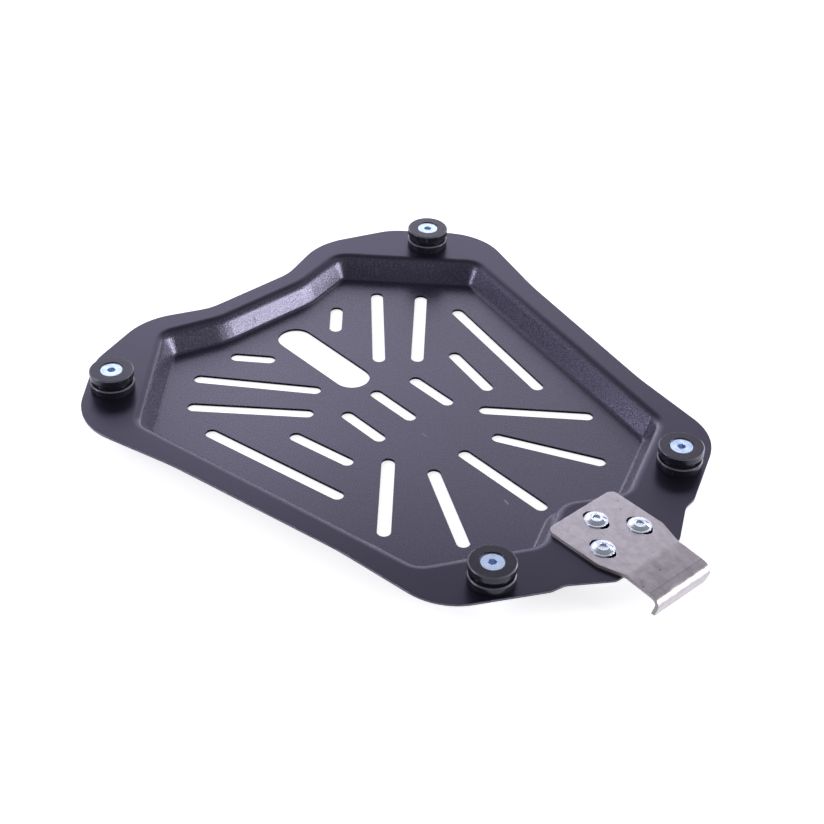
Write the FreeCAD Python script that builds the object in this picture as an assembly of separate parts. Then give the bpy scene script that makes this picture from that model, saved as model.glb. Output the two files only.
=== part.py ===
import FreeCAD, Part

import math
import os

from FreeCAD import Vector

# Luggage carrier plate: a pressed sheet steel tray with a flat rim, four grooved spools that a
# luggage case slides onto, and a folded steel latch bracket at the rear.
# X runs from the front edge to the latch, Y to the right, Z up from the underside of the floor.
# The origin is under the middle of the overall length and width. All lengths are in millimetres.

# Overall sizes
overall_length = 340.0       # front lobes of the rim to the outer face of the latch lip
overall_width = 285.0        # across the front corners of the rim
overall_height = 25.0        # underside of the floor to the tops of the spools

# Pressed tray: its section from the floor to the rim
sheet = 1.3
tray_depth = 12.2            # top of the floor to the top of the rim
wall_slope = 63.0            # degrees from the horizontal
floor_bend_radius = 2.0      # upper face of the bend at the floor
rim_bend_radius = 6.0        # upper face of the bend at the rim

# Rim outline: sharp corners of the right half, each with the radius that rounds it
front_edge = -overall_length / 2
half_width = overall_width / 2
latch_overhang = 22.5        # latch lip behind the rear edge of the plate
rear_edge = overall_length / 2 - latch_overhang
recess_depth = 11.5          # flat front edge behind the lobes
recess_half_width = 28.5
recess_radius = 30.0
lobe_y = 64.0                # where the two sides of a front lobe would meet
lobe_overrun = 2.811
lobe_radius = 40.0
spool_corner_setback = 13.0  # corner ahead of the front spool
spool_corner_y = 107.8
spool_corner_radius = 30.0
front_corner_setback = 52.4  # widest corner of the rim
front_corner_overrun = 4.707
front_corner_radius = 36.5
waist_x = -57.0              # shallow waist along the side
waist_y = 129.1
waist_radius = 150.0
flank_x = 46.0               # where the side straightens towards the rear
flank_y = 107.4
flank_radius = 160.0
rear_corner_lead = 40.6      # rear corner ahead of the rear edge
rear_corner_y = 99.7
rear_corner_radius = 34.0
shoulder_lead = 15.0         # small step in beside the latch
shoulder_y = 51.0
shoulder_radius = 8.0
step_lead = 13.7
step_y = 43.0
step_radius = 10.0
tail_half_width = 22.5       # rear end of the plate, under the latch bracket
tail_radius = 6.0

# Edge of the flat floor: sharp corners of the right half, measured from the rim outline
front_rim_width = 20.0       # flat front edge of the rim to the floor
front_wall_half_width = 30.5
front_wall_radius = 40.0
nose_rim_width = 23.2        # front lobe to the front corner of the floor
nose_y = 61.8
floor_corner_radius = 2.5    # the two front corners of each side
side_rim_width = 28.9        # widest corner of the rim to the side corner of the floor
side_corner_x = -94.3
rear_floor_lead = 73.6       # rear edge of the plate to the rear side corner of the floor
rear_floor_inset = 19.5      # rear corner of the rim to the rear side corner of the floor
rear_floor_radius = 4.0
tail_floor_lead = 48.8       # rear edge to the floor corner beside the latch
tail_floor_y = 30.6
tail_floor_radius = 5.0
land_lead = 65.0             # rear edge to the front of the land that carries the latch
land_radius = 20.0

# Slots through the floor
slot_width = 7.0
key_slot_x = -92.8           # wide slot on the centre line
key_slot_length = 68.5
key_slot_width = 20.0
# Single slots on the centre line: x, length
centre_slots = [
    (-34.2, 33.5),
    (49.5, 62.0),
]
# Mirrored pairs of slots: x, y, angle in degrees from X, length, for the right side
paired_slots = [
    (-117.5, 30.4, -42.5, 25.0),
    (-96.4, 44.0, -40.5, 70.5),
    (-80.3, 61.4, -44.5, 68.0),
    (-36.6, 80.8, -12.0, 90.0),
    (-29.9, 54.1, -12.0, 40.5),
    (-30.4, 24.6, 0.0, 32.0),
    (20.9, 54.1, 44.0, 61.5),
    (47.5, 36.1, 28.0, 62.0),
]

# Spools and their places
front_spool_setback = 39.1   # front lobes to the axis of a front spool
front_spool_inset = 28.6     # widest corner of the rim to the axis of a front spool
rear_spool_lead = 38.7       # rear edge to the axis of a rear spool
rear_spool_inset = 32.7      # rear corner of the rim to the axis of a rear spool
spool_diameter = 23.5
spool_flange = 4.6           # lower flange
spool_groove = 2.9           # groove that the case hooks run in
spool_groove_depth = 2.35
spool_chamfer = 0.6
screw_sink = 0.5             # top of the screw below the top of the spool
screw_ring_gap = 0.5         # gap round the head of the screw

# Fasteners, all with the same thread
thread_diameter = 6.0
thread_clearance = 0.03      # screw in its nut
hole_clearance = 0.25        # screw in a hole or washer, on the radius
seat_clearance = 0.05        # countersunk head in its spool
socket_width = 4.0           # hexagonal socket across its flats
socket_cone_rise = 0.5       # drill cone at the bottom of a socket, above and below it
thread_chamfer = 0.7
thread_end = 0.6             # screw below its nut
countersunk_head_diameter = 11.6
countersunk_head_rim = 0.4
countersunk_socket_depth = 2.3
button_head_diameter = 11.4
button_head_height = 3.2
button_head_rim = 0.5
button_head_top = 6.0        # flat round the socket
button_socket_depth = 2.0
nut_width = 10.0             # across its flats
nut_height = 6.0
nut_collar_height = 1.6      # round collar that locks the thread
nut_collar_diameter = 9.0
nut_chamfer = 0.6
nut_face_chamfer = 0.9       # across the corners, on the face that seats
under_washer_diameter = 14.0
under_washer_thickness = 1.2
top_washer_diameter = 12.0
top_washer_thickness = 1.0

# Latch bracket
bracket_sheet = 2.0
bracket_lead = 45.4          # rear edge of the plate to the front edge of the bracket
bracket_half_width = 23.1
bracket_corner_radius = 4.0
taper_lead = 11.9            # rear edge of the plate to the start of the taper
taper_length = 13.6
taper_radius = 5.0
tongue_half_width = 18.7
tongue_clearance = 0.5       # rear edge of the plate to the start of the droop
tongue_droop = 4.8           # degrees
tongue_droop_radius = 60.0
crease_angle = 5.0           # fine bend before the lip, in degrees
crease_radius = 4.0
lip_start = 1.6              # flat between the crease and the lip
lip_angle = 97.0
lip_radius = 4.6
lip_leg = 5.8
lip_corner_radius = 2.5
bracket_slot_length = 15.2
bracket_slot_width = 7.0
single_screw_lead = 34.4     # rear edge to the single screw on the centre line
screw_pair_lead = 17.9
screw_pair_half_spacing = 13.1

# Heights that follow
floor_top = sheet
rim_top = floor_top + tray_depth
rim_underside = rim_top - sheet
bracket_top = rim_top + bracket_sheet
nut_top = rim_underside - under_washer_thickness
nut_bottom = nut_top - nut_height
screw_end = nut_bottom - thread_end
tool_margin = 5.0            # how far a cutting shape runs past the faces it cuts
shortest_edge = 1e-6

UP = Vector(0, 0, 1)


def left_of(direction):
    """Unit vector in the plan, a quarter turn to the left of a direction."""
    return Vector(-direction.y, direction.x, 0).normalize()


def mirrored(corners):
    """Closes the corners of the right half, front to rear, with their mirror images."""
    return corners + [(x, -y, radius) for x, y, radius in reversed(corners) if y > 0]


def corner_turns(corners):
    """For each corner: its point, the directions in and out of it, and the signed turn."""
    points = [Vector(x, y, 0) for x, y, _ in corners]
    turns = []
    for i, point in enumerate(points):
        inward = (point - points[i - 1]).normalize()
        outward = (points[(i + 1) % len(points)] - point).normalize()
        turn = math.atan2(inward.cross(outward).z, inward.dot(outward))
        turns.append((point, inward, outward, turn))
    return turns


def rounded_corners(corners):
    """For each corner: the start, end and centre of the arc that rounds it, and its turn."""
    arcs = []
    for (point, inward, outward, turn), (_, _, radius) in zip(corner_turns(corners), corners):
        setback = radius * math.tan(abs(turn) / 2)
        start = point - inward * setback
        end = point + outward * setback
        centre = start + left_of(inward) * math.copysign(radius, turn)
        arcs.append((start, end, centre, turn))
    return arcs


def widened(corners, distance):
    """Corners of the parallel outline that lies a distance outside a clockwise one."""
    result = []
    for (point, inward, outward, turn), (_, _, radius) in zip(corner_turns(corners), corners):
        before, after = left_of(inward), left_of(outward)
        moved = point + (before + after) * (distance / (1 + before.dot(after)))
        result.append((moved.x, moved.y, radius - math.copysign(distance, turn)))
    return result


def outline_face(corners, z):
    """Flat face at a height inside a closed outline with rounded corners."""
    lift = UP * z
    arcs = rounded_corners(corners)
    edges = []
    for i, (start, end, centre, turn) in enumerate(arcs):
        line_start = arcs[i - 1][1]
        if (start - line_start).Length > shortest_edge:
            edges.append(Part.LineSegment(line_start + lift, start + lift).toShape())
        radius = (start - centre).Length
        if radius > shortest_edge:
            middle = centre + (start + end - centre * 2).normalize() * radius
            edges.append(Part.Arc(start + lift, middle + lift, end + lift).toShape())
    return Part.Face(Part.Wire(edges))


def prism(corners, bottom, top):
    """Upright solid between two heights inside an outline with rounded corners."""
    return outline_face(corners, bottom).extrude(UP * (top - bottom))


def folded_faces(steps, thickness):
    """Upper and lower faces of a folded sheet, as runs of points in its section, and its heading.

    The sheet starts at the origin and heads along the first axis. A step is a flat length, or a
    bend with its angle in degrees, positive upwards, and the radius of the upper face. The
    heading is the one at the free end, in radians.
    """
    heading = 0.0
    x, z = 0.0, 0.0
    upper, lower = [], []
    for step in steps:
        if len(step) == 1:
            end_x = x + step[0] * math.cos(heading)
            end_z = z + step[0] * math.sin(heading)
            drop_x, drop_z = thickness * math.sin(heading), -thickness * math.cos(heading)
            upper.append([(x, z), (end_x, end_z)])
            lower.append([(x + drop_x, z + drop_z), (end_x + drop_x, end_z + drop_z)])
            x, z = end_x, end_z
            continue
        angle, radius = math.radians(step[0]), step[1]
        side = math.copysign(1, angle)
        centre_x = x - side * radius * math.sin(heading)
        centre_z = z + side * radius * math.cos(heading)
        for run, reach in ((upper, radius), (lower, radius + side * thickness)):
            run.append([
                (centre_x + side * reach * math.sin(heading + part * angle),
                 centre_z - side * reach * math.cos(heading + part * angle))
                for part in (0, 0.5, 1)
            ])
        heading += angle
        x, z = upper[-1][-1]
    return upper, lower, heading


def section_edge(points, place):
    """Line or arc through the placed points of one step of a section."""
    placed = [place(x, z) for x, z in points]
    if len(placed) == 2:
        return Part.LineSegment(*placed).toShape()
    return Part.Arc(*placed).toShape()


def folded_section(steps, thickness, place, rounded_end=False):
    """Closed section of a folded sheet, placed in space, with a square or a round free end."""
    upper, lower, heading = folded_faces(steps, thickness)
    tip, heel = upper[-1][-1], lower[-1][-1]
    cap = [tip, heel]
    if rounded_end:
        reach = thickness / 2
        cap.insert(1, ((tip[0] + heel[0]) / 2 + reach * math.cos(heading),
                       (tip[1] + heel[1]) / 2 + reach * math.sin(heading)))
    runs = upper + [cap] + [run[::-1] for run in reversed(lower)] + [[lower[0][0], upper[0][0]]]
    return Part.Face(Part.Wire([section_edge(run, place) for run in runs]))


def slot_cutter(x, y, angle, length, width, bottom, top):
    """Upright solid with round ends that cuts a slot."""
    radius = width / 2
    straight = length / 2 - radius
    left, right = Vector(-straight, 0, bottom), Vector(straight, 0, bottom)
    side = Vector(0, radius, 0)
    tip = Vector(radius, 0, 0)
    edges = [
        Part.LineSegment(left + side, right + side).toShape(),
        Part.Arc(right + side, right + tip, right - side).toShape(),
        Part.LineSegment(right - side, left - side).toShape(),
        Part.Arc(left - side, left - tip, left + side).toShape(),
    ]
    cutter = Part.Face(Part.Wire(edges)).extrude(UP * (top - bottom))
    cutter.rotate(Vector(), UP, angle)
    cutter.translate(Vector(x, y, 0))
    return cutter


def turned(profile, x, y):
    """Solid of revolution about an upright axis, from points of radius and height."""
    points = [Vector(radius, 0, z) for radius, z in profile]
    face = Part.Face(Part.makePolygon(points + points[:1]))
    solid = face.revolve(Vector(), UP, 360)
    solid.translate(Vector(x, y, 0))
    return solid


def hexagon(width, bottom, top, x, y):
    """Upright hexagonal prism, measured across its flats."""
    radius = width / 2 / math.cos(math.pi / 6)
    corners = [Vector(radius, 0, bottom)]
    for i in range(1, 6):
        angle = i * math.pi / 3
        corners.append(Vector(radius * math.cos(angle), radius * math.sin(angle), bottom))
    face = Part.Face(Part.makePolygon(corners + corners[:1]))
    solid = face.extrude(UP * (top - bottom))
    solid.translate(Vector(x, y, 0))
    return solid


def rim_outline():
    """Corners of the outer edge of the rim."""
    return mirrored([
        (front_edge + recess_depth, recess_half_width, recess_radius),
        (front_edge - lobe_overrun, lobe_y, lobe_radius),
        (front_edge + spool_corner_setback, spool_corner_y, spool_corner_radius),
        (front_edge + front_corner_setback, half_width + front_corner_overrun,
         front_corner_radius),
        (waist_x, waist_y, waist_radius),
        (flank_x, flank_y, flank_radius),
        (rear_edge - rear_corner_lead, rear_corner_y, rear_corner_radius),
        (rear_edge - shoulder_lead, shoulder_y, shoulder_radius),
        (rear_edge - step_lead, step_y, step_radius),
        (rear_edge, tail_half_width, tail_radius),
    ])


def floor_outline():
    """Corners of the flat floor, where the wall starts to bend up."""
    return mirrored([
        (front_edge + recess_depth + front_rim_width, front_wall_half_width, front_wall_radius),
        (front_edge + nose_rim_width, nose_y, floor_corner_radius),
        (side_corner_x, half_width - side_rim_width, floor_corner_radius),
        (rear_edge - rear_floor_lead, rear_corner_y - rear_floor_inset, rear_floor_radius),
        (rear_edge - tail_floor_lead, tail_floor_y, tail_floor_radius),
        (rear_edge - land_lead, 0.0, land_radius),
    ])


def wall_steps():
    """Steps of the wall's section, from the floor up to the rim, and its run in the plan."""
    slope = math.radians(wall_slope)
    both_bends = floor_bend_radius + rim_bend_radius
    flat = (tray_depth - both_bends * (1 - math.cos(slope))) / math.sin(slope)
    run = both_bends * math.sin(slope) + flat * math.cos(slope)
    return [(wall_slope, floor_bend_radius), (flat,), (-wall_slope, rim_bend_radius)], run


def wall_pieces(corners):
    """The wall's section drawn along each straight and turned round each corner."""
    steps, _ = wall_steps()
    arcs = rounded_corners(corners)
    pieces = []
    for i, (start, end, centre, turn) in enumerate(arcs):
        line_start = arcs[i - 1][1]
        outward = left_of(start - line_start)

        def place(distance, height, foot=start, out=outward):
            return foot + out * distance + UP * (floor_top + height)

        section = folded_section(steps, sheet, place)
        pieces.append(section.extrude(line_start - start))
        pieces.append(section.revolve(centre, UP, math.degrees(turn)))
    return pieces


def spool_places():
    """Name and axis of each spool."""
    front = (front_edge + front_spool_setback, half_width - front_spool_inset)
    rear = (rear_edge - rear_spool_lead, rear_corner_y - rear_spool_inset)
    places = {}
    for end, (x, y) in (("front", front), ("rear", rear)):
        places[end + "_left"] = (x, -y)
        places[end + "_right"] = (x, y)
    return places


def bracket_screw_places():
    """Name and axis of each screw of the latch bracket."""
    return {
        "centre": (rear_edge - single_screw_lead, 0.0),
        "left": (rear_edge - screw_pair_lead, -screw_pair_half_spacing),
        "right": (rear_edge - screw_pair_lead, screw_pair_half_spacing),
    }


def slot_cutters():
    """Cutters for all slots of the floor."""
    bottom, top = -tool_margin, floor_top + tool_margin
    cutters = [slot_cutter(key_slot_x, 0, 0, key_slot_length, key_slot_width, bottom, top)]
    for x, length in centre_slots:
        cutters.append(slot_cutter(x, 0, 0, length, slot_width, bottom, top))
    for x, y, angle, length in paired_slots:
        for side in (-1, 1):
            cutters.append(
                slot_cutter(x, side * y, side * angle, length, slot_width, bottom, top))
    return cutters


def screw_hole_cutters():
    """Cutters for the round screw holes of the rim."""
    radius = thread_diameter / 2 + hole_clearance
    bottom = rim_underside - tool_margin
    places = list(spool_places().values()) + list(bracket_screw_places().values())
    return [Part.makeCylinder(radius, rim_top + tool_margin - bottom, Vector(x, y, bottom))
            for x, y in places]


def carrier_plate():
    """Pressed tray: floor, bent wall and rim as one sheet, with its slots and screw holes."""
    corners = floor_outline()
    _, run = wall_steps()
    floor = prism(corners, 0, floor_top)
    rim = prism(rim_outline(), rim_underside, rim_top)
    inside = prism(widened(corners, run), rim_underside, rim_top)
    tray = floor.multiFuse(wall_pieces(corners) + [rim.cut(inside)]).removeSplitter()
    return tray.cut(Part.makeCompound(slot_cutters() + screw_hole_cutters()))


def spool(x, y):
    """Grooved spool with a recess and a countersink for its screw."""
    outer = spool_diameter / 2
    groove = outer - spool_groove_depth
    bore = thread_diameter / 2 + hole_clearance
    recess = countersunk_head_diameter / 2 + screw_ring_gap
    cone_top = overall_height - screw_sink - countersunk_head_rim + screw_ring_gap - seat_clearance
    disc_bottom = rim_top + spool_flange + spool_groove
    flange_top = rim_top + spool_flange
    return turned([
        (bore, rim_top),
        (outer - spool_chamfer, rim_top),
        (outer, rim_top + spool_chamfer),
        (outer, flange_top - spool_chamfer),
        (outer - spool_chamfer, flange_top),
        (groove, flange_top),
        (groove, disc_bottom),
        (outer - spool_chamfer / 2, disc_bottom),
        (outer, disc_bottom + spool_chamfer / 2),
        (outer, overall_height - spool_chamfer),
        (outer - spool_chamfer, overall_height),
        (recess, overall_height),
        (recess, cone_top),
        (bore, cone_top - (recess - bore)),
    ], x, y)


def socket_cutter(top, depth, x, y):
    """Hexagonal socket with the cone that the drill leaves."""
    bottom = top - depth
    radius = socket_width / 2
    tip = turned([
        (0, bottom + socket_cone_rise),
        (radius, bottom + socket_cone_rise),
        (0, bottom - socket_cone_rise),
    ], x, y)
    return hexagon(socket_width, bottom, top + tool_margin, x, y).fuse(tip)


def threaded_end(radius):
    """Profile points of the free end of a screw."""
    return [
        (radius, screw_end + thread_chamfer),
        (radius - thread_chamfer, screw_end),
        (0, screw_end),
    ]


def countersunk_screw(x, y):
    """Screw that holds a spool."""
    top = overall_height - screw_sink
    head = countersunk_head_diameter / 2
    shank = thread_diameter / 2
    cone_top = top - countersunk_head_rim
    body = turned([
        (0, top),
        (head, top),
        (head, cone_top),
        (shank, cone_top - (head - shank)),
    ] + threaded_end(shank), x, y)
    return body.cut(socket_cutter(top, countersunk_socket_depth, x, y))


def button_head(seat, x, y):
    """Domed head: an arc from its rim to the flat round the socket."""
    head = button_head_diameter / 2
    flat = button_head_top / 2
    rim = seat + button_head_rim
    top = seat + button_head_height
    rise = top - rim
    run = head - flat
    # The arc leaves the flat level, so its centre lies under the edge of the flat.
    radius = (run ** 2 + rise ** 2) / (2 * rise)
    half = math.atan2(run, radius - rise) / 2
    middle = Vector(flat + radius * math.sin(half), 0, top - radius * (1 - math.cos(half)))
    edges = [
        Part.LineSegment(Vector(0, 0, seat), Vector(head, 0, seat)).toShape(),
        Part.LineSegment(Vector(head, 0, seat), Vector(head, 0, rim)).toShape(),
        Part.Arc(Vector(head, 0, rim), middle, Vector(flat, 0, top)).toShape(),
        Part.LineSegment(Vector(flat, 0, top), Vector(0, 0, top)).toShape(),
        Part.LineSegment(Vector(0, 0, top), Vector(0, 0, seat)).toShape(),
    ]
    head_solid = Part.Face(Part.Wire(edges)).revolve(Vector(), UP, 360)
    head_solid.translate(Vector(x, y, 0))
    return head_solid


def button_screw(x, y):
    """Screw that holds the latch bracket."""
    seat = bracket_top + top_washer_thickness
    shank = thread_diameter / 2
    body = turned([(0, seat), (shank, seat)] + threaded_end(shank), x, y)
    socket = socket_cutter(seat + button_head_height, button_socket_depth, x, y)
    return body.fuse(button_head(seat, x, y)).removeSplitter().cut(socket)


def washer(diameter, bottom, thickness, x, y):
    """Flat washer."""
    inner = thread_diameter / 2 + hole_clearance
    return turned([
        (inner, bottom),
        (diameter / 2, bottom),
        (diameter / 2, bottom + thickness),
        (inner, bottom + thickness),
    ], x, y)


def lock_nut(x, y):
    """Hexagonal nut with a round locking collar that faces down."""
    corner = nut_width / 2 / math.cos(math.pi / 6)
    collar = nut_collar_diameter / 2
    bore = thread_diameter / 2 + thread_clearance
    collar_top = nut_bottom + nut_collar_height
    envelope = turned([
        (bore, nut_bottom),
        (collar - nut_chamfer, nut_bottom),
        (collar, nut_bottom + nut_chamfer),
        (collar, collar_top),
        (corner, collar_top + nut_chamfer),
        (corner, nut_top - nut_chamfer),
        (corner - nut_face_chamfer, nut_top),
        (bore, nut_top),
    ], x, y)
    return envelope.common(hexagon(nut_width, nut_bottom, nut_top, x, y))


def bracket_steps(tongue_flat):
    """Steps of the latch bracket's section, with a flat of the given length on its tongue."""
    return [
        (bracket_lead + tongue_clearance,),
        (-tongue_droop, tongue_droop_radius),
        (tongue_flat,),
        (-crease_angle, crease_radius),
        (lip_start,),
        (-lip_angle, lip_radius),
        (lip_leg,),
    ]


def bracket_section(tongue_flat):
    """Section of the bracket on its left edge, from its front edge to the rounded lip."""
    def place(distance, height):
        start = rear_edge - bracket_lead
        return Vector(start + distance, -bracket_half_width, bracket_top + height)
    return folded_section(bracket_steps(tongue_flat), bracket_sheet, place, rounded_end=True)


def tongue_flat_length():
    """Flat of the tongue that brings the lip to the end of the overall length."""
    trial = 1.0
    missing = overall_length / 2 - bracket_section(trial).BoundBox.XMax
    return trial + missing / math.cos(math.radians(tongue_droop))


def lip_corner_cutters(strip, tip_width):
    """Cutters that round the two lower corners of the lip."""
    radius = lip_corner_radius
    box = strip.BoundBox
    depth = box.XMax - rear_edge
    cutters = []
    for side in (-1, 1):
        y = side * (tip_width - radius)
        block = Part.makeBox(depth, radius + tool_margin, radius + tool_margin,
                             Vector(rear_edge, 0, box.ZMin - tool_margin))
        if side < 0:
            block.translate(Vector(0, -radius - tool_margin, 0))
        block.translate(Vector(0, y, 0))
        round_rod = Part.makeCylinder(radius, depth, Vector(rear_edge, y, box.ZMin + radius),
                                      Vector(1, 0, 0))
        cutters.append(block.cut(round_rod))
    return cutters


def latch_bracket():
    """Folded strip with a tapered plan, three slots and a hooked lip."""
    start = rear_edge - bracket_lead
    strip = bracket_section(tongue_flat_length()).extrude(Vector(0, 2 * bracket_half_width, 0))
    taper_start = rear_edge - taper_lead
    plan = prism(mirrored([
        (start, bracket_half_width, bracket_corner_radius),
        (taper_start, bracket_half_width, taper_radius),
        (taper_start + taper_length, tongue_half_width, taper_radius),
        (overall_length / 2 + tool_margin, tongue_half_width, 0.0),
    ]), -tool_margin, bracket_top + tool_margin)
    cutters = [
        slot_cutter(x, y, 0, bracket_slot_length, bracket_slot_width,
                    rim_top - tool_margin, bracket_top + tool_margin)
        for x, y in bracket_screw_places().values()
    ]
    cutters += lip_corner_cutters(strip, tongue_half_width)
    return strip.common(plan).cut(Part.makeCompound(cutters))


def build_nodes():
    """All pieces by name."""
    nodes = {"carrier_plate": carrier_plate(), "latch_bracket": latch_bracket()}
    for name, (x, y) in spool_places().items():
        nodes["spool_" + name] = spool(x, y)
        nodes["spool_screw_" + name] = countersunk_screw(x, y)
        nodes["spool_washer_" + name] = washer(
            under_washer_diameter, nut_top, under_washer_thickness, x, y)
        nodes["spool_nut_" + name] = lock_nut(x, y)
    for name, (x, y) in bracket_screw_places().items():
        nodes["bracket_screw_" + name] = button_screw(x, y)
        nodes["bracket_top_washer_" + name] = washer(
            top_washer_diameter, bracket_top, top_washer_thickness, x, y)
        nodes["bracket_under_washer_" + name] = washer(
            under_washer_diameter, nut_top, under_washer_thickness, x, y)
        nodes["bracket_nut_" + name] = lock_nut(x, y)
    return nodes


def main():
    """Writes each piece to its own file."""
    os.makedirs("parts", exist_ok=True)
    for name, shape in build_nodes().items():
        shape.exportStep(os.path.join("parts", name + ".step"))


main()
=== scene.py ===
import logging
import math
from dataclasses import dataclass, field
from enum import Enum

import bpy
from mathutils import Euler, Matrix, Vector

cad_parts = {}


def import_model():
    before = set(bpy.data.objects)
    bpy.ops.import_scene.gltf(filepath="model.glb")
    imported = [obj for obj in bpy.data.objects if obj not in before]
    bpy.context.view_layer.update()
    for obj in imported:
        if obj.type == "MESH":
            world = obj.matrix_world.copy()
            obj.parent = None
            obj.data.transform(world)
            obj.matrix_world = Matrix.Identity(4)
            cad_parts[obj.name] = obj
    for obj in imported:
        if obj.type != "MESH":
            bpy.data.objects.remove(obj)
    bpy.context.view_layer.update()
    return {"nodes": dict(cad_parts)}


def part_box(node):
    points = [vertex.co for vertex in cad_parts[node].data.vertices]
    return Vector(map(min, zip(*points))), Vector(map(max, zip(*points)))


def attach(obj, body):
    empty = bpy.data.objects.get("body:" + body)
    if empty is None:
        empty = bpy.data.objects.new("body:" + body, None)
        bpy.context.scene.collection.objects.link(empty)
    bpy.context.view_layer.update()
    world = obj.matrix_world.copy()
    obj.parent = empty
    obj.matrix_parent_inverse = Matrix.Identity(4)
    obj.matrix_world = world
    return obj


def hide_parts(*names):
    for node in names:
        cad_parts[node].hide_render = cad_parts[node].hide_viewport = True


# Looks of the luggage carrier plate: a coated tray, black plastic spools, plated fasteners and a
# bare steel latch bracket. Lengths are in metres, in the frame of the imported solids. Most values
# of a noise lie in NOISE_SPAN, and MARK_CORE is the part of a mark that has its full strength.

LOG = logging.getLogger("luggage_carrier_plate")
X, Y, Z = range(3)
QUARTER_TURN = math.radians(90)

Colour = tuple[float, float, float]
Point = tuple[float, float, float]
Span = tuple[float, float]
Nodes = dict[str, bpy.types.Object]
Socket = bpy.types.NodeSocket

NEUTRAL: Colour = (1.0, 1.0, 0.97)
NOISE_SPAN: Span = (0.3, 0.7)
MARK_CORE = 0.5
BEVEL_SAMPLES = 6
SPOOLS = ("front_left", "front_right", "rear_left", "rear_right")


def plan_axis(node: str) -> tuple[float, float]:
    """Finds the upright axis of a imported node: the middle of its box in the plan.

    Args:
        node: Name of the node.

    Returns:
        The x and y of the axis.
    """
    low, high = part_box(node)
    return (low.x + high.x) / 2, (low.y + high.y) / 2


class Slot(Enum):
    """Material slots of the record."""

    COAT = "powder_coat"
    PLASTIC = "spool_plastic"
    ZINC = "zinc"
    STEEL = "bare_steel"


@dataclass(frozen=True)
class Mark:
    """A short straight mark, given by its place in the plan."""

    x: float
    y: float
    length: float
    width: float
    colour: Colour
    share: float
    angle: float = 0.0


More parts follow.
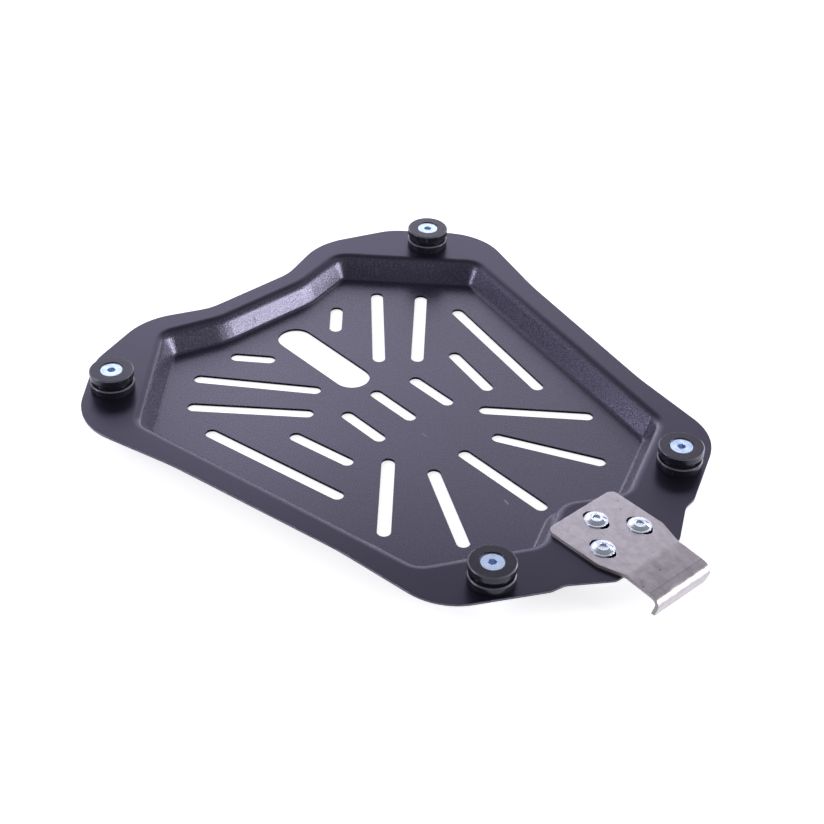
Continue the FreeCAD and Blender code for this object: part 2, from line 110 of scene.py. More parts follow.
class NodeGraph:
    """A material and short ways to add and join its nodes."""

    def __init__(self, name: str) -> None:
        """Makes an empty node material.

        Args:
            name: Name of the material.
        """
        self.material = bpy.data.materials.new(name)
        self.material.use_nodes = True
        self.tree = self.material.node_tree
        self.tree.nodes.clear()

    def add(self, kind: str, inputs: dict[int | str, object] | None = None,
            **settings: object) -> bpy.types.Node:
        """Adds a node.

        Args:
            kind: Type of the node, such as ShaderNodeMath.
            inputs: Input names or indices, each with a plain value or a socket to join.
            settings: Properties of the node.

        Returns:
            The new node.
        """
        node = self.tree.nodes.new(kind)
        for name, value in settings.items():
            setattr(node, name, value)
        for key, value in (inputs or {}).items():
            if isinstance(value, Socket):
                self.tree.links.new(value, node.inputs[key])
            else:
                node.inputs[key].default_value = value
        return node

    def math(self, operation: str, *values: object) -> Socket:
        """Adds a Math node and returns its result."""
        node = self.add("ShaderNodeMath", dict(enumerate(values)), operation=operation)
        return node.outputs[0]

    def object_place(self) -> Socket:
        """Returns the place on the object, in metres."""
        return self.add("ShaderNodeTexCoord").outputs["Object"]

    def coordinate(self, vector: Socket, axis: int) -> Socket:
        """Returns one coordinate of a vector: X, Y or Z."""
        return self.add("ShaderNodeSeparateXYZ", {0: vector}).outputs[axis]

    def facing(self, axis: int) -> Socket:
        """Returns 1 on faces square to X, Y or Z, down to 0 on faces along it."""
        normal = self.add("ShaderNodeNewGeometry").outputs["Normal"]
        return self.math("ABSOLUTE", self.coordinate(normal, axis))

    def noise(self, place: Socket, size: float, detail: float = 2.0,
              roughness: float = 0.5) -> Socket:
        """Adds noise.

        Args:
            place: Place on the object.
            size: Size of its grains, in metres.
            detail: Number of finer layers.
            roughness: Strength of the finer layers.

        Returns:
            A value from 0 to 1.
        """
        node = self.add("ShaderNodeTexNoise", {
            "Vector": place, "Scale": 1 / size, "Detail": detail, "Roughness": roughness})
        return node.outputs["Fac"]

    def span(self, value: Socket, low: float, high: float, out_low: float,
             out_high: float) -> Socket:
        """Maps a value from one range to another, held at the ends.

        Args:
            value: The value.
            low: Value that gives out_low.
            high: Value that gives out_high.
            out_low: Result at low.
            out_high: Result at high.

        Returns:
            The result.
        """
        node = self.add("ShaderNodeMapRange", {
            "Value": value, "From Min": low, "From Max": high,
            "To Min": out_low, "To Max": out_high})
        return node.outputs["Result"]

    def uneven(self, noise: Socket, roughness: float, spread: Span) -> Socket:
        """Roughness that follows a noise.

        Args:
            noise: The noise, from 0 to 1.
            roughness: Roughness to vary.
            spread: What is added to it at the low and at the high end of NOISE_SPAN.

        Returns:
            The roughness.
        """
        return self.span(noise, *NOISE_SPAN, roughness + spread[0], roughness + spread[1])

    def blend(self, share: Socket, first: Socket | Colour, second: Socket | Colour) -> Socket:
        """Mixes two colours.

        Args:
            share: Share of the second colour, from 0 to 1.
            first: First colour.
            second: Second colour.

        Returns:
            The mixed colour.
        """
        node = self.add("ShaderNodeMix", {0: share}, data_type="RGBA")
        for key, value in ((6, first), (7, second)):
            if isinstance(value, Socket):
                self.tree.links.new(value, node.inputs[key])
            else:
                node.inputs[key].default_value = (*value, 1.0)
        return node.outputs[2]

    def axis_distance(self, place: Socket, x: float, y: float) -> Socket:
        """Measures the distance from an upright axis.

        Args:
            place: Place on the object.
            x: Place of the axis along the carrier.
            y: Place of the axis across the carrier.

        Returns:
            The distance, in metres.
        """
        offset = self.add("ShaderNodeVectorMath", {0: place, 1: (x, y, 0.0)},
                          operation="SUBTRACT")
        flat = self.add("ShaderNodeVectorMath", {0: offset.outputs[0], 1: (1.0, 1.0, 0.0)},
                        operation="MULTIPLY")
        length = self.add("ShaderNodeVectorMath", {0: flat.outputs[0]}, operation="LENGTH")
        return length.outputs["Value"]

    def rings(self, distance: Socket, spacing: float) -> Socket:
        """Fine turned rings, from 0 to 1."""
        turns = self.math("MULTIPLY", distance, 2 * math.pi / spacing)
        return self.span(self.math("SINE", turns), -1.0, 1.0, 0.0, 1.0)

    def mark_share(self, place: Socket, mark: Mark) -> Socket:
        """Finds the share of one mark, held at its middle and soft at its border.

        Args:
            place: Place on the object.
            mark: The mark.

        Returns:
            The share, from 0 outside the mark to its own share in the middle.
        """
        turned = self.add("ShaderNodeMapping", {
            "Vector": place,
            "Location": (mark.x, mark.y, 0.0),
            "Rotation": (0.0, 0.0, math.radians(mark.angle))}, vector_type="TEXTURE")
        parts = self.add("ShaderNodeSeparateXYZ", {0: turned.outputs[0]}).outputs
        along = self.math("DIVIDE", self.math("ABSOLUTE", parts[X]), mark.length / 2)
        across = self.math("DIVIDE", self.math("ABSOLUTE", parts[Y]), mark.width / 2)
        return self.span(self.math("MAXIMUM", along, across), MARK_CORE, 1.0, mark.share, 0.0)

    def marked(self, colour: Socket, place: Socket, marks: tuple[Mark, ...]) -> Socket:
        """Adds short marks to a colour.

        Args:
            colour: Colour under the marks.
            place: Place on the object.
            marks: The marks.

        Returns:
            The colour with its marks.
        """
        for mark in marks:
            colour = self.blend(self.mark_share(place, mark), colour, mark.colour)
        return colour

    def bumped(self, height: Socket, depth: float, edge: float) -> Socket:
        """Normal of a bumpy surface with softened edges.

        Args:
            height: Height from 0 to 1.
            depth: Depth of the bumps, in metres.
            edge: Radius that softens sharp edges, in metres.

        Returns:
            The normal.
        """
        soft = self.add("ShaderNodeBevel", {"Radius": edge}, samples=BEVEL_SAMPLES)
        node = self.add("ShaderNodeBump", {
            "Height": height, "Distance": depth, "Strength": 1.0, "Normal": soft.outputs[0]})
        return node.outputs[0]

    def finished(self, **inputs: object) -> bpy.types.Material:
        """Adds the surface shader and the output.

        Args:
            inputs: Inputs of the shader, with underscores for spaces.

        Returns:
            The finished material.
        """
        named = {key.replace("_", " "): value for key, value in inputs.items()}
        shader = self.add("ShaderNodeBsdfPrincipled", {
            key: (*value, 1.0) if isinstance(value, tuple) and len(value) == 3 else value
            for key, value in named.items()})
        self.add("ShaderNodeOutputMaterial", {"Surface": shader.outputs[0]})
        return self.material


@dataclass(frozen=True)
class PowderCoat:
    """Near-black satin coat: smooth to the eye on level faces, sandy on the sloped walls."""

    base: Colour = (0.020, 0.018, 0.034)
    pale: Colour = (0.028, 0.025, 0.046)
    # painted shade: the raised rim is coloured darker than the floor of the tray
    rim_shade: Colour = (0.012, 0.011, 0.021)
    # painted glints: light specks of the sandy coat on the sloped walls
    speck_and_painted_light: Colour = (0.11, 0.105, 0.14)
    sheen: Colour = (0.73, 0.70, 1.0)
    # wear and painted light: lighter patches on the upright cut edges of the rim
    edge_wear_and_light: Colour = (0.16, 0.16, 0.19)
    # painted shade: near-black colour for the walls of the slots, where shade falls in the cuts
    slot_shade: Colour = (0.006, 0.006, 0.009)
    roughness: float = 0.27
    wall_roughness: float = 0.28
    rim_roughness: float = 0.04
    # painted shade: a share of metallic on the rim dims its reflection with the dark rim colour
    rim_shade_damping: float = 0.31
    sand_roughness: Span = (-0.04, 0.06)
    level_sand: float = 0.5
    grain_size: float = 0.0009
    cloud_size: float = 0.05
    wear_size: float = 0.004
    rim_height: float = 0.0128
    rim_blend: float = 0.0006
    slot_height: float = 0.0016
    slot_blend: float = 0.0004
    slope_levels: Span = (0.55, 0.97)
    upright_levels: Span = (0.2, 0.4)
    speck_span: Span = (0.50, 0.70)
    speck_share: float = 0.8
    wear_span: Span = (0.40, 0.62)
    wear_share: float = 0.6
    level_depth: float = 0.0045
    wall_depth: float = 0.09
    grain_height: float = 0.001
    front_end: float = -0.118
    front_blend: float = 0.012
    front_share: float = 1.35
    edge: float = 0.0004
    ior: float = 1.75
    marks: tuple[Mark, ...] = ()
    dents: tuple[Mark, ...] = ()

    def material(self) -> bpy.types.Material:
        """Makes the coat's material.

        Returns:
            The material.
        """
        graph = NodeGraph(Slot.COAT.value)
        place = graph.object_place()
        height = graph.coordinate(place, Z)
        level = graph.facing(Z)
        sloped = graph.span(level, *self.slope_levels, 1.0, 0.0)
        upright = graph.span(level, *self.upright_levels, 1.0, 0.0)
        raised = graph.span(height, self.rim_height - self.rim_blend, self.rim_height, 0.0, 1.0)
        clouds = graph.noise(place, self.cloud_size, detail=3.0)
        grain = graph.noise(place, self.grain_size, detail=3.0, roughness=0.65)
        colour = graph.blend(graph.span(clouds, *NOISE_SPAN, 0.0, 1.0), self.base, self.pale)
        # painted shade: the raised rim takes the darker rim colour
        colour = graph.blend(raised, colour, self.rim_shade)
        # painted glints: light specks follow the grain on the sloped walls only
        specks = graph.span(grain, *self.speck_span, 0.0, self.speck_share)
        colour = graph.blend(graph.math("MULTIPLY", specks, sloped), colour, self.speck_and_painted_light)
        # wear and painted light: lighter colour in patches on the rim's upright cut edges
        wear = graph.noise(place, self.wear_size, detail=4.0, roughness=0.7)
        worn = graph.math("MULTIPLY", graph.math("MULTIPLY", upright, raised),
                          graph.span(wear, *self.wear_span, 0.0, self.wear_share))
        colour = graph.blend(worn, colour, self.edge_wear_and_light)
        # painted shade: the low upright walls of the slots are coloured near-black
        in_slot_shade = graph.math("MULTIPLY", upright, graph.span(
            height, self.slot_height, self.slot_height + self.slot_blend, 1.0, 0.0))
        colour = graph.blend(in_slot_shade, colour, self.slot_shade)
        colour = graph.marked(colour, place, self.marks)
        sandy = graph.math("MULTIPLY", graph.span(grain, *NOISE_SPAN, *self.sand_roughness),
                           graph.span(sloped, 0.0, 1.0, self.level_sand, 1.0))
        uneven = graph.math("ADD", sandy,
                            graph.span(sloped, 0.0, 1.0, self.roughness, self.wall_roughness))
        on_rim = graph.math("MULTIPLY", raised, graph.span(sloped, 0.0, 1.0, 1.0, 0.0))
        uneven = graph.math("ADD", uneven, graph.math("MULTIPLY", on_rim, self.rim_roughness))
        # painted shade: metallic over the dark colours dims the reflection of the rim and of the
        # slot walls; the dents are dimmed the same way
        damped = graph.math("MAXIMUM", in_slot_shade, graph.math("MULTIPLY", on_rim, self.rim_shade_damping))
        for dent in self.dents:
            damped = graph.math("MAXIMUM", damped, graph.mark_share(place, dent))
        depth = graph.math("MULTIPLY", grain,
                           graph.span(sloped, 0.0, 1.0, self.level_depth, self.wall_depth))
        front = graph.span(graph.coordinate(place, X), self.front_end,
                           self.front_end + self.front_blend, self.front_share, 1.0)
        depth = graph.math("MULTIPLY", depth, front)
        return graph.finished(
            Base_Color=colour, Metallic=damped, Roughness=uneven, IOR=self.ior,
            Specular_Tint=self.sheen,
            Normal=graph.bumped(depth, self.grain_height, self.edge))


@dataclass(frozen=True)
class TurnedPlastic:
    """Black plastic with fine turned rings round one upright axis."""

    x: float
    y: float
    base: Colour = (0.010, 0.010, 0.014)
    pale: Colour = (0.024, 0.024, 0.032)
    # painted highlight: a light ring of colour on the chamfers of the spool
    chamfer: Colour = (0.15, 0.15, 0.175)
    sheen: Colour = (0.69, 0.68, 0.97)
    roughness: float = 0.22
    roughness_spread: Span = (-0.03, 0.06)
    ring_spacing: float = 0.0006
    ring_depth: float = 0.000006
    wear_size: float = 0.0022
    wear_relief: float = 0.4
    chamfer_start: Span = (0.50, 0.62)
    chamfer_end: Span = (0.80, 0.92)
    chamfer_highlight_share: float = 0.7
    edge: float = 0.0003
    ior: float = 1.52

    def material(self) -> bpy.types.Material:
        """Makes the material of one spool.

        Returns:
            The material.
        """
        graph = NodeGraph(Slot.PLASTIC.value)
        place = graph.object_place()
        rings = graph.rings(graph.axis_distance(place, self.x, self.y), self.ring_spacing)
        worn = graph.noise(place, self.wear_size, detail=3.0, roughness=0.6)
        colour = graph.blend(graph.math("MULTIPLY", rings, worn), self.base, self.pale)
        level = graph.facing(Z)
        # painted highlight: the chamfered faces are coloured lighter all round
        chamfer_highlight = graph.math("MULTIPLY",
                           graph.span(level, *self.chamfer_start, 0.0, self.chamfer_highlight_share),
                           graph.span(level, *self.chamfer_end, 1.0, 0.0))
        colour = graph.blend(chamfer_highlight, colour, self.chamfer)
        uneven = graph.uneven(worn, self.roughness, self.roughness_spread)
        height = graph.math("ADD", rings, graph.math("MULTIPLY", worn, self.wear_relief))
        return graph.finished(
            Base_Color=colour, Roughness=uneven, IOR=self.ior, Specular_Tint=self.sheen,
            Normal=graph.bumped(height, self.ring_depth, self.edge))


@dataclass(frozen=True)
class ZincPlate:
    """Bright zinc with a pale blue cast and turned rings round one upright axis."""

    x: float
    y: float
    base: Colour = (0.58, 0.71, 0.92)
    dull: Colour = (0.43, 0.54, 0.76)
    roughness: float = 0.26
    roughness_spread: Span = (-0.06, 0.12)
    ring_spacing: float = 0.0009
    ring_depth: float = 0.000006
    cloud_size: float = 0.003
    dull_span: Span = (0.35, 0.7)
    dull_share: float = 0.8
    line_radius: float = 0.0046
    line_width: float = 0.0003
    line_share: float = 0.5
    edge: float = 0.0002

    def material(self) -> bpy.types.Material:
        """Makes the material of one stack of fasteners.

        Returns:
            The material.
        """
        graph = NodeGraph(Slot.ZINC.value)
        place = graph.object_place()
        distance = graph.axis_distance(place, self.x, self.y)
        rings = graph.rings(distance, self.ring_spacing)
        cloud = graph.noise(place, self.cloud_size, detail=3.0, roughness=0.6)
        clouded = graph.span(cloud, *self.dull_span, 0.0, self.dull_share)
        colour = graph.blend(clouded, self.base, self.dull)
        off_line = graph.math("ABSOLUTE", graph.math("SUBTRACT", distance, self.line_radius))
        line = graph.span(off_line, 0.0, self.line_width, self.line_share, 0.0)
        colour = graph.blend(line, colour, self.dull)
        uneven = graph.uneven(cloud, self.roughness, self.roughness_spread)
        return graph.finished(
            Base_Color=colour, Metallic=1.0, Roughness=uneven,
            Normal=graph.bumped(rings, self.ring_depth, self.edge))


@dataclass(frozen=True)
class MillSteel:
    """Bare rolled steel: faint streaks along the sheet, soft mottling and a few tiny specks."""

    base: Colour = (0.395, 0.368, 0.408)
    pale: Colour = (0.525, 0.492, 0.538)
    # dark specks of the steel; the same colour also paints the shade along the crease
    sawn: Colour = (0.30, 0.285, 0.30)
    speck_and_painted_light: Colour = (0.13, 0.12, 0.13)
    roughness: float = 0.34
    roughness_spread: Span = (-0.07, 0.09)
    streak_size: float = 0.0007
    streak_scale: Point = (0.12, 1.0, 1.0)
    streak_depth: float = 0.000008
    streak_part: float = 0.3
    mottle_size: float = 0.005
    mottle_part: float = 0.7
    tone_span: Span = (0.38, 0.62)
    speck_size: float = 0.0009
    speck_span: Span = (0.73, 0.8)
    speck_share: float = 0.6
    # painted shade: a thin dark line along the crease of the bend
    crease_x: float = 0.1641
    crease_width: float = 0.0005
    crease_shade_share: float = 0.75
    sawn_span: Span = (0.75, 0.95)
    sawn_roughness: float = 0.2
    sawn_metallic: float = 0.35
    edge: float = 0.0004
    marks: tuple[Mark, ...] = ()

    def material(self) -> bpy.types.Material:
        """Makes the bracket's material.

        Returns:
            The material.
        """
        graph = NodeGraph(Slot.STEEL.value)
        place = graph.object_place()
        stretched = graph.add("ShaderNodeMapping", {
            "Vector": place, "Scale": self.streak_scale}).outputs[0]
        streaks = graph.noise(stretched, self.streak_size, detail=3.0, roughness=0.6)
        mottle = graph.noise(place, self.mottle_size, detail=4.0, roughness=0.6)
        share = graph.math("ADD", graph.math("MULTIPLY", mottle, self.mottle_part),
                           graph.math("MULTIPLY", streaks, self.streak_part))
        colour = graph.blend(graph.span(share, *self.tone_span, 0.0, 1.0), self.base, self.pale)
        specks = graph.span(graph.noise(place, self.speck_size, detail=1.0), *self.speck_span,
                            0.0, self.speck_share)
        colour = graph.blend(specks, colour, self.speck_and_painted_light)
        # painted shade: the crease of the bend is coloured with a thin dark line
        along = graph.coordinate(place, X)
        off_crease = graph.math("ABSOLUTE", graph.math("SUBTRACT", along, self.crease_x))
        crease_shade = graph.span(off_crease, 0.0, self.crease_width / 2, self.crease_shade_share, 0.0)
        colour = graph.blend(crease_shade, colour, self.speck_and_painted_light)
        colour = graph.marked(colour, place, self.marks)
        cut = graph.span(graph.facing(Y), *self.sawn_span, 0.0, 1.0)
        colour = graph.blend(cut, colour, self.sawn)
        uneven = graph.math("ADD", graph.uneven(mottle, self.roughness, self.roughness_spread),
                            graph.math("MULTIPLY", cut, self.sawn_roughness))
        metallic = graph.span(cut, 0.0, 1.0, 1.0, self.sawn_metallic)
        return graph.finished(
            Base_Color=colour, Metallic=metallic, Roughness=uneven,
            Normal=graph.bumped(streaks, self.streak_depth, self.edge))


@dataclass
class CadPieces:
    """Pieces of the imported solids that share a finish."""

    nodes: Nodes
    names: tuple[str, ...]

    def dress(self, material: bpy.types.Material) -> None:
        """Puts a material in every slot of the pieces.

        Args:
            material: The material.
        """
        for name in self.names:
            piece = self.nodes[name]
            for place in piece.material_slots:
                place.material = material
            LOG.info("dressed %s with %s", name, material.name)


@dataclass
class Tray:
    """The pressed tray."""

    nodes: Nodes
    marks: tuple[Mark, ...] = (
        Mark(0.0635, -0.0109, 0.0045, 0.0008, (0.55, 0.55, 0.60), 0.6, angle=-11.6),
        Mark(-0.0039, -0.0049, 0.0050, 0.0006, (0.55, 0.55, 0.60), 0.3, angle=-10.4),
        Mark(0.0716, 0.0874, 0.0008, 0.0008, (0.40, 0.40, 0.45), 0.6),
    )
    dents: tuple[Mark, ...] = (
        Mark(-0.1420, -0.0098, 0.0024, 0.0013, (0.01, 0.01, 0.015), 1.0),
    )

    def build(self) -> None:
        """Dresses the tray."""
        coat = PowderCoat(marks=self.marks, dents=self.dents)
        CadPieces(self.nodes, ("carrier_plate",)).dress(coat.material())


@dataclass
class SpoolStack:
    """A spool with its screw, washer and nut."""

    nodes: Nodes
    place: str

    def build(self) -> None:
        """Dresses the spool and its fasteners."""
        x, y = plan_axis("spool_" + self.place)
        CadPieces(self.nodes, ("spool_" + self.place,)).dress(TurnedPlastic(x, y).material())
        fasteners = tuple(f"spool_{kind}_{self.place}" for kind in ("screw", "washer", "nut"))
        CadPieces(self.nodes, fasteners).dress(ZincPlate(x, y).material())


@dataclass
class LowHeadScrew:
    """A bracket screw: a wide low head with a hexagonal socket on a threaded shank.

    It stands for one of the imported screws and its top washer, on the same axis and of the same
    reach downwards. The head's flange lies on the bracket. Each step of its slope is a share of
    head_rise and a scale of the face below the step.
    """

    node: str
    washer: str
    head_width: float = 0.0119
    head_rim: float = 0.00045
    head_rise: float = 0.00135
    slope: tuple[Span, ...] = ((0.03, 0.83), (0.97, 0.63))
    head_sides: int = 64
    socket_width: float = 0.0038
    socket_depth: float = 0.0009
    socket_sides: int = 6
    core_width: float = 0.0050
    core_sides: int = 48
    thread_reach: float = 0.00297
    thread_pitch: float = 0.0010
    thread_length: float = 0.0105
    thread_steps: int = 24
    ridge_radius: float = 0.0005
    ridge_sides: int = 3
    end_chamfer: float = 0.0004
    chamfer_steps: int = 2
    smooth_degrees: float = 20.0

    def seat(self) -> float:
        """Height of the bracket's top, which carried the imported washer."""
        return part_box(self.washer)[0].z

    def end(self) -> float:
        """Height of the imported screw's lower end."""
        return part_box(self.node)[0].z

    @staticmethod
    def raise_top(rise: float, share: float) -> None:
        """Extrudes the selected face up and scales it towards its middle."""
        bpy.ops.mesh.extrude_region_move(TRANSFORM_OT_translate={"value": (0.0, 0.0, rise)})
        bpy.ops.transform.resize(value=(share, share, 1.0))

    @staticmethod
    def select_top(piece: bpy.types.Object) -> None:
        """Opens edit mode with only the highest face selected.

        Args:
            piece: The object to edit.
        """
        for part in (piece.data.vertices, piece.data.edges, piece.data.polygons):
            part.foreach_set("select", [False] * len(part))
        top = max(piece.data.polygons, key=lambda face: (face.center.z, face.area))
        top.select = True
        bpy.ops.object.mode_set(mode="EDIT")
        bpy.ops.mesh.select_mode(type="FACE")

    def build_head(self, x: float, y: float) -> bpy.types.Object:
        """Models the sloped head and cuts its socket.

        Args:
            x: Place of the axis along the carrier.
            y: Place of the axis across the carrier.

        Returns:
            The head.
        """
        bpy.ops.object.select_all(action="DESELECT")
        bpy.ops.mesh.primitive_cylinder_add(
            vertices=self.head_sides, radius=self.head_width / 2, depth=self.head_rim,
            location=(x, y, self.seat() + self.head_rim / 2))
        head = bpy.context.active_object
        self.select_top(head)
        for rise, share in self.slope:
            self.raise_top(rise * self.head_rise, share)
        bpy.ops.object.mode_set(mode="OBJECT")

        bpy.ops.object.select_all(action="DESELECT")
        top = self.seat() + self.head_rim + self.head_rise
        bpy.ops.mesh.primitive_cylinder_add(
            vertices=self.socket_sides, radius=self.socket_width / math.sqrt(3),
            depth=2 * self.socket_depth, location=(x, y, top))
        cutter = bpy.context.active_object
        cut = head.modifiers.new("socket", "BOOLEAN")
        cut.operation, cut.solver, cut.object = "DIFFERENCE", "EXACT", cutter
        bpy.context.view_layer.objects.active = head
        bpy.ops.object.modifier_apply(modifier=cut.name)
        bpy.ops.object.select_all(action="DESELECT")
        cutter.select_set(True)
        bpy.ops.object.delete()
        return head

    def build_shank(self, x: float, y: float) -> bpy.types.Object:
        """Models the core of the shank, chamfered at both ends.

        Args:
            x: Place of the axis along the carrier.
            y: Place of the axis across the carrier.

        Returns:
            The shank.
        """
        bpy.ops.object.select_all(action="DESELECT")
        bpy.ops.mesh.primitive_cylinder_add(
            vertices=self.core_sides, radius=self.core_width / 2, depth=self.seat() - self.end(),
            location=(x, y, (self.seat() + self.end()) / 2))
        shank = bpy.context.active_object
        chamfer = shank.modifiers.new("chamfer", "BEVEL")
        chamfer.width, chamfer.segments = self.end_chamfer, self.chamfer_steps
        chamfer.limit_method = "ANGLE"
        bpy.ops.object.modifier_apply(modifier=chamfer.name)
        return shank

    def build_thread(self, x: float, y: float) -> bpy.types.Object:
        """Sweeps a three-sided ridge round the shank and closes its ends.

        Args:
            x: Place of the axis along the carrier.
            y: Place of the axis across the carrier.

        Returns:
            The thread.
        """
        start = (x, y, self.end() + 2 * self.end_chamfer)
        bpy.ops.object.select_all(action="DESELECT")
        bpy.ops.mesh.primitive_circle_add(
            vertices=self.ridge_sides, radius=self.ridge_radius, location=start)
        thread = bpy.context.active_object
        bpy.ops.object.mode_set(mode="EDIT")
        bpy.ops.mesh.select_all(action="SELECT")
        for axis in "XY":
            bpy.ops.transform.rotate(value=QUARTER_TURN, orient_axis=axis, center_override=start)
        bpy.ops.object.mode_set(mode="OBJECT")
        reach = max(corner.co.x for corner in thread.data.vertices)
        bpy.ops.object.mode_set(mode="EDIT")
        bpy.ops.transform.translate(value=(self.thread_reach - reach, 0.0, 0.0))
        bpy.ops.object.mode_set(mode="OBJECT")
        sweep = thread.modifiers.new("sweep", "SCREW")
        sweep.screw_offset = self.thread_pitch
        sweep.iterations = int(self.thread_length / self.thread_pitch)
        sweep.steps = sweep.render_steps = self.thread_steps
        sweep.use_normal_calculate = True
        bpy.ops.object.modifier_apply(modifier=sweep.name)
        bpy.ops.object.mode_set(mode="EDIT")
        bpy.ops.mesh.select_all(action="SELECT")
        bpy.ops.mesh.fill_holes(sides=self.ridge_sides)
        bpy.ops.mesh.normals_make_consistent(inside=False)
        bpy.ops.object.mode_set(mode="OBJECT")
        return thread

    def build(self, material: bpy.types.Material) -> None:
        """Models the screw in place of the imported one.

        Args:
            material: Material of the whole screw.
        """
        x, y = plan_axis(self.node)
        parts = (self.build_head(x, y), self.build_shank(x, y), self.build_thread(x, y))
        bpy.ops.object.select_all(action="DESELECT")
        for part in parts:
            part.select_set(True)
        bpy.context.view_layer.objects.active = parts[0]
        bpy.ops.object.join()
        bpy.ops.object.transform_apply(location=True, rotation=True, scale=True)
        bpy.ops.object.shade_smooth_by_angle(angle=math.radians(self.smooth_degrees))
        piece = bpy.context.active_object
        piece.name = "low_head_" + self.node
        piece.data.materials.clear()
        piece.data.materials.append(material)
        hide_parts(self.node, self.washer)
        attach(piece, "root")
        LOG.info("modelled %s", piece.name)


@dataclass
class LatchBracket:
    """The folded bracket with its three screws."""

    nodes: Nodes
    screws: tuple[str, ...] = ("centre", "left", "right")
    zinc_base: Colour = (0.76, 0.83, 0.95)
    zinc_dull: Colour = (0.59, 0.66, 0.80)
    zinc_roughness: float = 0.20
    marks: tuple[Mark, ...] = (
        Mark(0.1100, 0.0189, 0.0014, 0.0010, (0.10, 0.10, 0.10), 0.6, angle=30.0),
        Mark(0.1152, 0.0152, 0.0012, 0.0012, (0.10, 0.10, 0.10), 0.7),
    )

    def build(self) -> None:
        """Dresses the bracket and its fasteners."""
        CadPieces(self.nodes, ("latch_bracket",)).dress(MillSteel(marks=self.marks).material())
        for screw in self.screws:
            under = "bracket_under_washer_" + screw
            x, y = plan_axis(under)
            zinc = ZincPlate(x, y, base=self.zinc_base, dull=self.zinc_dull,
                             roughness=self.zinc_roughness).material()
            CadPieces(self.nodes, (under, "bracket_nut_" + screw)).dress(zinc)
            LowHeadScrew("bracket_screw_" + screw, "bracket_top_washer_" + screw).build(zinc)


@dataclass
class Softbox:
    """A soft lamp that faces the middle of the plate."""

    name: str
    azimuth: float
    elevation: float
    width: float
    height: float
    power: float
    colour: Colour = (0.93, 0.90, 1.0)
    distance: float = 1.5

    def build(self) -> None:
        """Adds the lamp."""
        turn, rise = math.radians(self.azimuth), math.radians(self.elevation)
        place = Vector((math.cos(rise) * math.cos(turn), math.cos(rise) * math.sin(turn),
                        math.sin(rise))) * self.distance
        lamp = bpy.data.lights.new(self.name, "AREA")
        lamp.shape = "RECTANGLE"
        lamp.size, lamp.size_y = self.width, self.height
        lamp.energy = self.power
        lamp.color = self.colour
        holder = bpy.data.objects.new(self.name, lamp)
        holder.location = place
        holder.rotation_mode = "QUATERNION"
        holder.rotation_quaternion = (-place).to_track_quat("-Z", "Y")
        bpy.context.scene.collection.objects.link(holder)
        LOG.info("lamp %s", self.name)


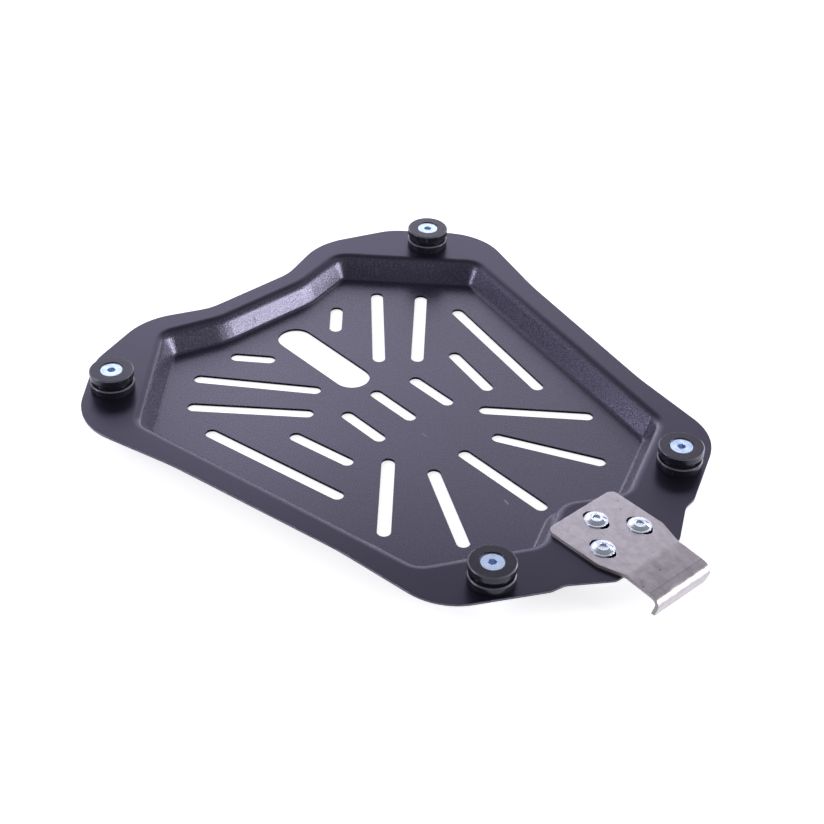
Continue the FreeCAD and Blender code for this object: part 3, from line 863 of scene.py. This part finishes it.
@dataclass
class Studio:
    """Pale floor, soft lamps and the camera."""

    floor_half_width: float = 12.0
    floor_drop: float = 0.0004
    floor_tone: Colour = (0.9, 0.9, 0.9)
    floor_glow: float = 0.70
    world_strength: float = 0.27
    camera_place: Point = (0.509822, -0.502835, 0.551851)
    camera_turn_degrees: Point = (53.15945, -1.57691, 47.63595)
    camera_lens: float = 74.626
    camera_sensor: float = 36.0
    camera_clip: Span = (0.01, 100.0)
    softboxes: list[Softbox] = field(default_factory=lambda: [
        Softbox("right low", 32.0, 9.0, 0.50, 0.32, 12.60, NEUTRAL),
        Softbox("right far", 50.0, 7.0, 0.35, 0.25, 8.60, NEUTRAL),
        Softbox("right wide", 72.0, 9.0, 0.95, 0.32, 6.00),
        Softbox("over right", 75.0, 52.0, 0.70, 0.50, 0.45),
        Softbox("left low", 240.0, 9.0, 0.45, 0.32, 9.90),
        Softbox("left mid", 232.0, 32.0, 0.70, 0.50, 3.30),
        Softbox("back right", 112.0, 20.0, 0.60, 0.26, 1.30),
        Softbox("back middle", 135.0, 20.0, 0.60, 0.26, 0.95),
        Softbox("back left", 158.0, 20.0, 0.60, 0.26, 1.35),
        Softbox("back far left", 182.0, 19.0, 1.00, 0.50, 3.60),
        Softbox("back low", 137.0, 7.0, 1.60, 0.22, 4.00),
        Softbox("upper middle", 143.0, 31.0, 1.10, 0.26, 1.25),
        Softbox("high right", 125.0, 40.0, 1.15, 0.26, 1.20),
        Softbox("high left", 171.0, 40.0, 1.15, 0.26, 1.05),
    ])

    def floor_material(self) -> bpy.types.Material:
        """Makes a white floor that keeps the object's shadow and is open seen from below.

        Returns:
            The material.
        """
        graph = NodeGraph("floor")
        white = graph.add("ShaderNodeBsdfDiffuse", {"Color": (*self.floor_tone, 1.0)})
        glow = graph.add("ShaderNodeEmission", {
            "Color": (1.0, 1.0, 1.0, 1.0), "Strength": self.floor_glow})
        path = graph.add("ShaderNodeLightPath")
        seen = graph.math("MAXIMUM", path.outputs["Is Camera Ray"], graph.math(
            "MAXIMUM", path.outputs["Is Glossy Ray"], path.outputs["Is Transmission Ray"]))
        both = graph.add("ShaderNodeAddShader", {0: white.outputs[0], 1: glow.outputs[0]})
        lit = graph.add("ShaderNodeMixShader", {
            0: seen, 1: white.outputs[0], 2: both.outputs[0]})
        clear = graph.add("ShaderNodeBsdfTransparent")
        below = graph.add("ShaderNodeNewGeometry").outputs["Backfacing"]
        surface = graph.add("ShaderNodeMixShader", {
            0: below, 1: lit.outputs[0], 2: clear.outputs[0]})
        graph.add("ShaderNodeOutputMaterial", {"Surface": surface.outputs[0]})
        return graph.material

    def build_floor(self) -> None:
        """Adds the floor."""
        bpy.ops.object.select_all(action="DESELECT")
        bpy.ops.mesh.primitive_plane_add(size=2 * self.floor_half_width,
                                         location=(0.0, 0.0, -self.floor_drop))
        floor = bpy.context.active_object
        floor.name = "floor"
        floor.data.materials.append(self.floor_material())

    def build_world(self) -> None:
        """Sets a dim even world that the camera sees as white."""
        world = bpy.data.worlds.new("studio")
        world.use_nodes = True
        tree = world.node_tree
        background = tree.nodes["Background"]
        background.inputs["Color"].default_value = (1.0, 1.0, 1.0, 1.0)
        path = tree.nodes.new("ShaderNodeLightPath")
        strength = tree.nodes.new("ShaderNodeMapRange")
        strength.inputs["To Min"].default_value = self.world_strength
        strength.inputs["To Max"].default_value = 1.0
        tree.links.new(path.outputs["Is Camera Ray"], strength.inputs["Value"])
        tree.links.new(strength.outputs["Result"], background.inputs["Strength"])
        bpy.context.scene.world = world

    def build_camera(self) -> None:
        """Adds the camera."""
        lens = bpy.data.cameras.new("camera")
        lens.lens = self.camera_lens
        lens.sensor_width = self.camera_sensor
        lens.clip_start, lens.clip_end = self.camera_clip
        camera = bpy.data.objects.new("camera", lens)
        camera.location = self.camera_place
        camera.rotation_euler = Euler([math.radians(a) for a in self.camera_turn_degrees])
        bpy.context.scene.collection.objects.link(camera)
        bpy.context.scene.camera = camera

    def build(self) -> None:
        """Builds the whole studio."""
        self.build_floor()
        self.build_world()
        for softbox in self.softboxes:
            softbox.build()
        self.build_camera()
        bpy.context.scene.view_settings.view_transform = "Standard"
        LOG.info("studio built")


def main() -> None:
    """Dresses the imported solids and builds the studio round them."""
    logging.basicConfig(level=logging.INFO)
    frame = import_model()
    nodes = frame["nodes"]
    Tray(nodes).build()
    for place in SPOOLS:
        SpoolStack(nodes, place).build()
    LatchBracket(nodes).build()
    Studio().build()


if __name__ == "__main__":
    main()
